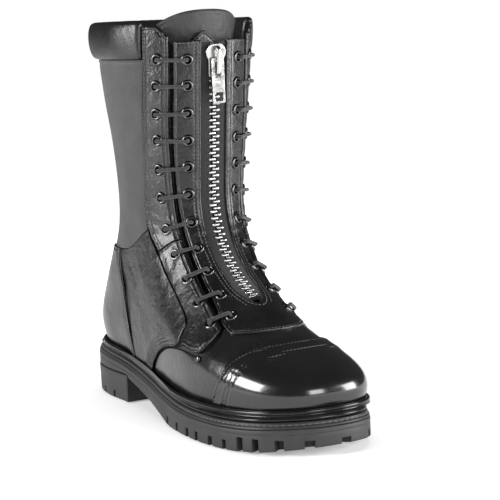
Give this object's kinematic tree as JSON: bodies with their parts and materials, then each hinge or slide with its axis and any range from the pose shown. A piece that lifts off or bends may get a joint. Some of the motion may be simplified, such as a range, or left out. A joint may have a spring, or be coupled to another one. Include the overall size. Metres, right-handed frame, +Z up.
{
  "type": "lace-up safety boot",
  "caption": "Black lace-up safety boot with a smooth toe cap, woven ankle shaft, padded collar, laced front zip panel and lugged rubber sole.",
  "frame": {"origin": "centre of the boot's bounding box on the ground plane", "axes": "+Z up the leg, toe towards -Y and heel towards +Y, outer (lateral) side of this right boot towards -X"},
  "size_m": [0.1164, 0.3061, 0.2969],
  "materials": {
    "leather_toe": "mirror-polished black",
    "leather_smooth": "semi-gloss black, fine grain",
    "leather_padded": "soft black, satin",
    "nylon_weave": "black ballistic weave, matte",
    "lining_cloth": "black knitted lining, matte",
    "toe_shell": "moulded composite, matte",
    "counter_board": "thermoplastic board, matte",
    "sole_rubber": "charcoal black, matte",
    "midsole_rubber": "black, satin",
    "welt_rubber": "black, semi-gloss",
    "cork": "granulated cork, matte",
    "board": "fibre board, matte",
    "footbed_foam": "foam covered with black cloth",
    "shank_steel": "bright spring steel",
    "eyelet_metal": "black enamel, worn bright at the rim",
    "lace_cord": "round black braid",
    "zip_tape_cloth": "black woven tape, matte",
    "zip_metal": "bright nickel, worn",
    "slider_metal": "nickel plated, worn"
  },
  "bodies": {
    "boot": {"toe_cap": "leather_toe", "toe_box": "toe_shell", "vamp": "leather_smooth", "vamp_lining": "lining_cloth", "quarter_lateral": "leather_smooth", "quarter_medial": "leather_smooth", "upper_facing_lateral": "leather_smooth", "upper_facing_medial": "leather_smooth", "lower_facing_lateral": "leather_smooth", "lower_facing_medial": "leather_smooth", "ankle_panel_lateral": "leather_smooth", "ankle_panel_medial": "leather_smooth", "shaft_panel_lateral": "nylon_weave", "shaft_panel_medial": "nylon_weave", "shaft_lining": "lining_cloth", "heel_counter_cover": "leather_smooth", "counter_stiffener": "counter_board", "back_stay": "leather_smooth", "collar": "leather_padded", "tongue": "leather_padded", "zip_panel": "leather_smooth", "zip_tape_lateral": "zip_tape_cloth", "zip_tape_medial": "zip_tape_cloth", "zip_teeth_lateral": "zip_metal", "zip_teeth_medial": "zip_metal", "zip_bottom_box": "zip_metal", "zip_top_stops": "zip_metal", "zip_guard_flap": "leather_smooth", "facing_eyelets_lateral": "eyelet_metal", "facing_eyelets_medial": "eyelet_metal", "panel_eyelets_lateral": "eyelet_metal", "panel_eyelets_medial": "eyelet_metal", "lace_lateral": "lace_cord", "lace_medial": "lace_cord", "outsole": "sole_rubber", "heel_block": "sole_rubber", "midsole": "midsole_rubber", "storm_welt": "welt_rubber", "cork_filler": "cork", "shank": "shank_steel", "insole_board": "board", "footbed": "footbed_foam"},
    "slider": {"slider_body": "slider_metal"},
    "pull": {"zip_pull": "slider_metal"}
  },
  "joints": [
    {"name": "zip_slide", "type": "slide", "parent": "boot", "child": "slider", "axis": [0, 0.0995, -0.995], "range_m": [0, 0.067]},
    {"name": "pull_swing", "type": "hinge", "parent": "slider", "child": "pull", "pos_m": [0.00045, -0.01163, 0.26136], "axis": [-1, 0, 0], "range_deg": [-4, 160]}
  ]
}
